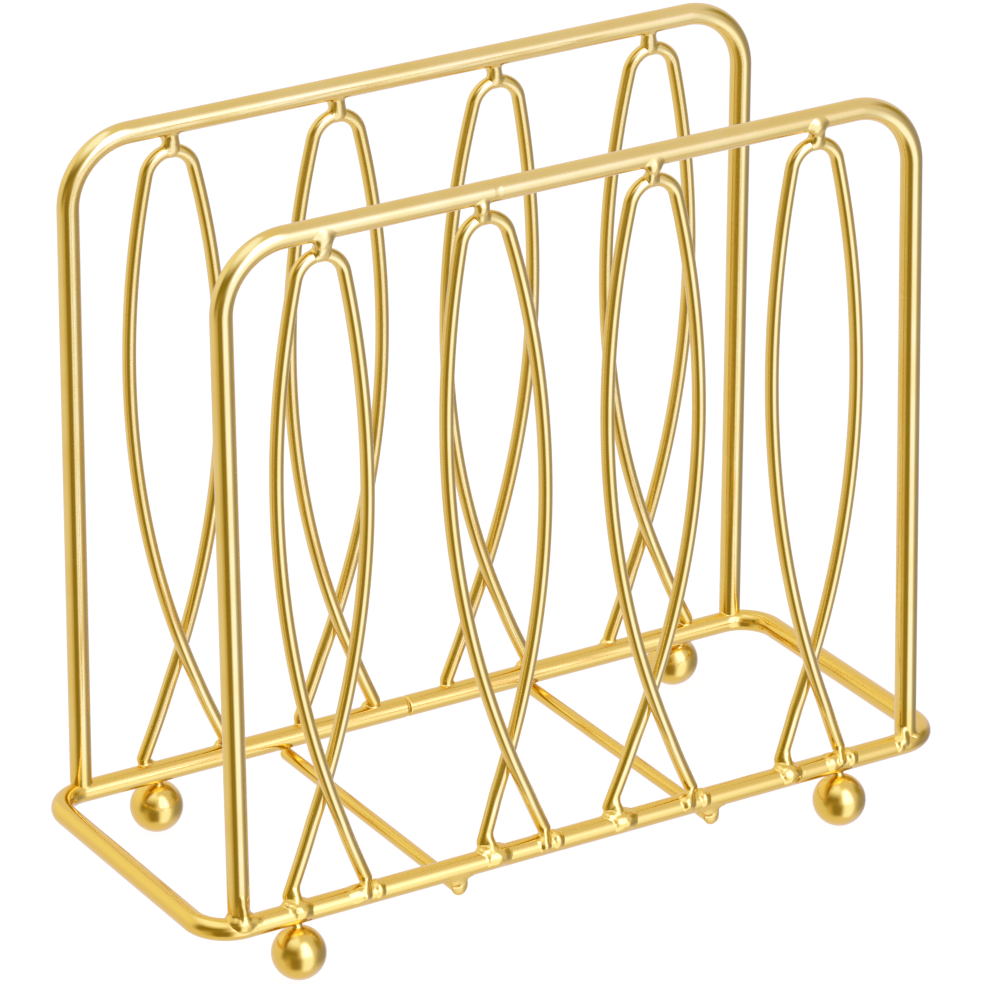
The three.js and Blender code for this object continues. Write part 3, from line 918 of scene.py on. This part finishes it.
for name, (row, top_x, _) in loop_paths.items():
    panel = PANELS[row]
    rail_z, loop_top = panel_heights(panel)
    loop_below = rail_z - loop_top
    number = int(name[-1]) - 1

    def near_top(right, out, below):
        return panel_point(panel, top_x + right, panel["side"] * out, rail_z - below)

    web_right, web = WEBS[row][number]
    crown = [near_top(hand * CROWN_HALF, 0, loop_below + CROWN_DIP) for hand in (-1, 1)]
    web_ends = [near_top(web_right, 0, below) for below in (loop_below - WEB_ABOVE_LOOP, WEB_BELOW_RAIL)]
    rods = [
        rail_piece(panel, top_x, rail_z),
        (*crown, LOOP_RADIUS, LOOP_RADIUS),
        (*web_ends, web, web),
    ]
    lumps = [(near_top(*lump[:3]), lump[3:]) for lump in TOP_LUMPS[row][number]]
    middle = near_top(web_right, TOP_OUT, TOP_BELOW)
    lay_weld(name + "_top_weld", middle, TOP_REACH, rods, lumps, blend=1.4, lump_blend=1.1)
print("top welds:", len(weld_faces))

# %% [markdown]
# ## Welds at the loops' feet
#
# On the front rail the left foot of every loop has a broad bead, shaped like a boat, that runs from the leg
# over the face of the rail, with a small heel of metal round the leg itself. The right foot has only a
# narrow ridge, with a lobe on each side of it. On the rear rail both feet stand in a small skirt of metal
# that flares to one side.

# %% Foot welds
# Places by a foot: how far to the right of it, out from the rail's middle and up from that middle.
# For loops 1 to 4 the bead at the left foot: the place of its middle, and its half width.
FRONT_BEADS = [(1.0, -0.1, 0.5, 3.0), (1.5, -0.1, 0.45, 3.5), (1.7, -0.1, 0.45, 3.5), (0.5, -0.1, 0.5, 3.0)]
BEAD_DEPTH, BEAD_HEIGHT = 2.6, 2.2
BEAD_MIDDLE, BEAD_REACH = (0.9, 0.6, 1.6), 5.2
HEEL_PLACE, HEEL_SIZE = (-0.5, -0.2, 1.8), (1.6, 1.4, 1.0)
# The metal between the leg and the bead: how far up the leg it starts, how far out and up it ends, its radii.
SPILL_START, SPILL_END, SPILL_RADII = 2.4, (0.45, 0.4), (0.7, 1.8)
# For loops 1 to 4 the ridge at the right foot: the place of its low end. Then the left and the right lobe
# beside it, each with its place and its half width.
FRONT_RIDGES = [
    ((-1.3, 1.6, 0.5), (-2.2, 0.3, 0.45, 2.8), (1.8, 0.3, 0.45, 1.35)),
    ((-1.0, 1.6, 0.5), (-1.6, 0.0, 0.2, 1.4), (1.8, 0.35, 0.5, 1.4)),
    ((-1.9, 1.5, 0.7), (-1.9, 0.3, 0.5, 2.0), (1.8, 0.3, 0.5, 1.35)),
    ((-0.9, 1.5, 0.9), (-2.4, 0.35, 0.45, 2.0), (1.8, 0.35, 0.5, 1.35)),
]
LOBE_RADIUS = 1.9
RIDGE_TOP, RIDGE_RADII = (-0.3, 0.0, 3.1), (0.7, 0.95)
RIDGE_MIDDLE, RIDGE_REACH = (-0.5, 0.8, 1.6), 4.6
# For loops 1 to 4 of the rear rail: how far to the right the skirt flares at the left and at the right foot.
REAR_FLARES = [(0.9, -0.8), (0.6, -0.9), (0.2, -0.8), (-1.0, -0.9)]
SKIRT_BEHIND = {"left": 0, "right": 0.8}
SKIRT_SHARE, SKIRT_UP, SKIRT_SIZE = 0.8, 1.9, (1.3, 1.0, 0.8)
REAR_RIGHT, REAR_UP, REAR_REACH = 0.2, 2.6, 4.2
LEG_POINTS, LEG_PIECE = 6, 7


def base_rail(x, outer, reach=8.0):
    """A stretch of a long rail of the base ring, as a rod."""
    return ((x - reach, outer, RING_HEIGHT), (x + reach, outer, RING_HEIGHT), FRAME_RADIUS, FRAME_RADIUS)


for name, (row, _, path) in loop_paths.items():
    side = PANELS[row]["side"]
    outer = side * RAIL_Y
    number = int(name[-1]) - 1
    feet = {"left": (path[0], path[LEG_POINTS]), "right": (path[-1], path[-1 - LEG_POINTS])}
    for end, (foot, next_up) in feet.items():
        leg_up = (next_up - foot).normalized()
        foot_out = side * foot.y - RAIL_Y

        def by_foot(right, out, up):
            return Vector((foot.x + right, outer + side * out, RING_HEIGHT + up))

        rods = [base_rail(foot.x, outer), (foot, foot + leg_up * LEG_PIECE, LOOP_RADIUS, LOOP_RADIUS)]
        node = f"{name}_{end}_weld"
        if row == "rear":
            flare = dict(zip(HANDS, REAR_FLARES[number]))[end]
            skirt = (by_foot(flare * SKIRT_SHARE, foot_out + SKIRT_BEHIND[end], SKIRT_UP), SKIRT_SIZE)
            middle = by_foot(REAR_RIGHT, foot_out, REAR_UP)
            lay_weld(node, middle, REAR_REACH, rods, [skirt], blend=0.8, lump_blend=0.9)
        elif end == "left":
            right, out, up, half_width = FRONT_BEADS[number]
            rods.append((foot + leg_up * SPILL_START, by_foot(right / 2, *SPILL_END), *SPILL_RADII))
            bead = (by_foot(right, out, up), (half_width, BEAD_DEPTH, BEAD_HEIGHT))
            heel = (by_foot(*HEEL_PLACE), HEEL_SIZE)
            middle = by_foot(*BEAD_MIDDLE)
            lay_weld(node, middle, BEAD_REACH, rods, [bead, heel], blend=0.8, lump_blend=0.4, rough=0.2)
        else:
            low_end, *lobes = FRONT_RIDGES[number]
            rods.append((by_foot(*RIDGE_TOP), by_foot(*low_end), *RIDGE_RADII))
            lumps = [(by_foot(*lobe[:3]), (lobe[3], LOBE_RADIUS, LOBE_RADIUS)) for lobe in lobes]
            lay_weld(node, by_foot(*RIDGE_MIDDLE), RIDGE_REACH, rods, lumps, blend=0.7, lump_blend=0.6)
print("with foot welds:", len(weld_faces))

# %% [markdown]
# ## Welds of the frame
#
# A hoop's foot is butted on the rail. On the front rail it is welded on its outer face, with a rough ridge
# of metal that climbs the leg, and at the rear a plain fillet runs round it. The cross wires hang under the
# rails: their front ends are drowned in a flat, dull drop with a slit left open, and at the rear a little
# metal fills the corner inside the rail. A ball hangs from the rail by a short neck. The ring's own seam
# lies in a groove.

# %% Hoop welds
# Places by a leg: how far to the right of it, out from the rail's middle and up from that middle. A ridge has
# the places and the radii of its two ends, a lump its place and its half sizes. The left ridge's upper end is
# given from the hoop's plane.
STRAIGHT_END = RING_END_X - RING_CORNER
RAIL_PIECE, HOOP_LEG_PIECE = 9, 11
FILLET_IN, FILLET_UP, FILLET_REACH = 0.6, 0.6, 3.8
LEFT_RIDGE_LOW, LEFT_RIDGE_HIGH, LEFT_RIDGE_RADII = (0.1, 0.7, 2.4), (-0.1, 1.35, 5.9), (1.0, 0.75)
LEFT_LUMPS = [((0.0, -0.6, 0.9), (2.9, 2.8, 2.3)), ((1.9, 0.7, 1.2), (1.7, 1.1, 1.0))]
LEFT_MIDDLE, LEFT_REACH = (0.4, 0.4, 2.4), 5.4
RIGHT_RIDGE_LOW, RIGHT_RIDGE_HIGH, RIGHT_RIDGE_RADII = (-1.8, 1.2, 1.2), (-1.2, -0.3, 3.3), (1.0, 0.8)
RIGHT_LUMPS = [((-2.7, 0.45, 0.5), (0.9, 1.7, 1.6)), ((1.2, 0.0, 0.9), (1.7, 1.5, 1.2))]
RIGHT_MIDDLE, RIGHT_REACH = (-0.4, 0.6, 2.2), 4.8

for row, panel in PANELS.items():
    side = panel["side"]
    outer = side * RAIL_Y
    for end, hand in HANDS.items():
        x = hand * HOOP_LEG_X
        foot = panel_point(panel, x, 0, FRAME_RADIUS)

        def by_leg(right, out, up):
            return Vector((foot.x + right, outer + side * out, RING_HEIGHT + up))

        straight_end = Vector((hand * STRAIGHT_END, outer, RING_HEIGHT))
        rods = [
            (straight_end, by_leg(-hand * RAIL_PIECE, 0, 0), FRAME_RADIUS, FRAME_RADIUS),
            (foot, panel_point(panel, x, 0, HOOP_LEG_PIECE), FRAME_RADIUS, FRAME_RADIUS),
        ]
        node = f"{row}_hoop_weld_{end}"
        if row == "rear":
            middle = foot + Vector((-hand * FILLET_IN, 0, FILLET_UP))
            lay_weld(node, middle, FILLET_REACH, rods, blend=0.6)
        elif end == "left":
            along, out, height = LEFT_RIDGE_HIGH
            high_end = panel_point(panel, x + along, side * out, height)
            rods.append((by_leg(*LEFT_RIDGE_LOW), high_end, *LEFT_RIDGE_RADII))
            lumps = [(by_leg(*place), size) for place, size in LEFT_LUMPS]
            middle = by_leg(*LEFT_MIDDLE)
            lay_weld(node, middle, LEFT_REACH, rods, lumps, blend=0.9, lump_blend=0.6, rough=0.2)
        else:
            rods.append((by_leg(*RIGHT_RIDGE_LOW), by_leg(*RIGHT_RIDGE_HIGH), *RIGHT_RIDGE_RADII))
            lumps = [(by_leg(*place), size) for place, size in RIGHT_LUMPS]
            middle = by_leg(*RIGHT_MIDDLE)
            lay_weld(node, middle, RIGHT_REACH, rods, lumps, blend=0.8, lump_blend=0.8, rough=0.15)
print("with hoop welds:", len(weld_faces))

# %% Ball necks, cross wire drops and seam
HAIR = 0.01  # a ball is a rod of hardly any length
NECK_RADIUS, NECK_BITE, NECK_REACH = 1.0, 0.4, 2.8
CROSS_PIECE = 9
# Places by the end of a cross wire: how far to the right of it, out of the rail and up. Then half sizes.
DROP_PLACE, DROP_SIZE = (-0.3, 0.8, 0.95), (1.75, 0.35, 1.75)
SLIT_PLACE, SLIT_SIZE = (-0.8, 1.2, 0.8), (0.75, 0.6, 0.15)
DROP_IN, DROP_REACH = 0.6, 3.2
CORNER_IN, CORNER_UP, CORNER_REACH = 0.9, 1.35, 3.0
SEAM_CORE_HALF, SEAM_CORE, SEAM_COLLAR, SEAM_REACH = 1, 1.7, (0.35, 1.88, 1.88), 2.3

for row, panel in PANELS.items():
    side = panel["side"]
    outer = side * RAIL_Y
    for end in HANDS:
        ball = ball_centres[f"{row}_{end}"]
        to_rail = Vector((0, outer - ball.y, BALL_DROP))
        gap = to_rail.length - BALL_RADIUS - FRAME_RADIUS
        crown = (ball, ball + Vector((0, 0, HAIR)), BALL_RADIUS, BALL_RADIUS)
        place = ball + to_rail.normalized() * (BALL_RADIUS + gap / 2)
        neck = (place, (NECK_RADIUS, NECK_RADIUS, NECK_BITE + gap / 2))
        rods = [base_rail(ball.x, outer), crown]
        lay_weld(f"ball_weld_{row}_{end}", place, NECK_REACH, rods, [neck], blend=1.0, rough=0.05)

    for end, hand in HANDS.items():
        x = hand * CROSS_X
        tail = (x, side * (CROSS_END - CROSS_PIECE), CROSS_Z)
        rods = [base_rail(x, outer), ((x, side * CROSS_END, CROSS_Z), tail, CROSS_RADIUS, CROSS_RADIUS)]

        def by_end(right, out, up):
            return Vector((x + right, side * CROSS_END + side * out, CROSS_Z + up))

        node = f"cross_weld_{row}_{end}"
        if row == "front":
            lumps = [(by_end(*DROP_PLACE), DROP_SIZE)]
            pits = [(by_end(*SLIT_PLACE), SLIT_SIZE)]
            middle = lumps[0][0] + Vector((0, DROP_IN, 0))
            lay_weld(node, middle, DROP_REACH, rods, lumps, pits, blend=0.9, lump_blend=1.2, finish=dull_gold)
        else:
            middle = Vector((x, outer - CORNER_IN, CROSS_Z + CORNER_UP))
            lay_weld(node, middle, CORNER_REACH, rods, blend=1.2)

seam = Vector((SEAM_X, RAIL_Y, RING_HEIGHT))
along = Vector((SEAM_CORE_HALF, 0, 0))
core = (seam - along, seam + along, SEAM_CORE, SEAM_CORE)
collar = (seam, SEAM_COLLAR)
lay_weld("base_ring_seam_weld", seam, SEAM_REACH, [core], [collar], lump_blend=0.15, rough=0.04)
print("welds:", len(weld_faces), "faces:", sum(weld_faces.values()))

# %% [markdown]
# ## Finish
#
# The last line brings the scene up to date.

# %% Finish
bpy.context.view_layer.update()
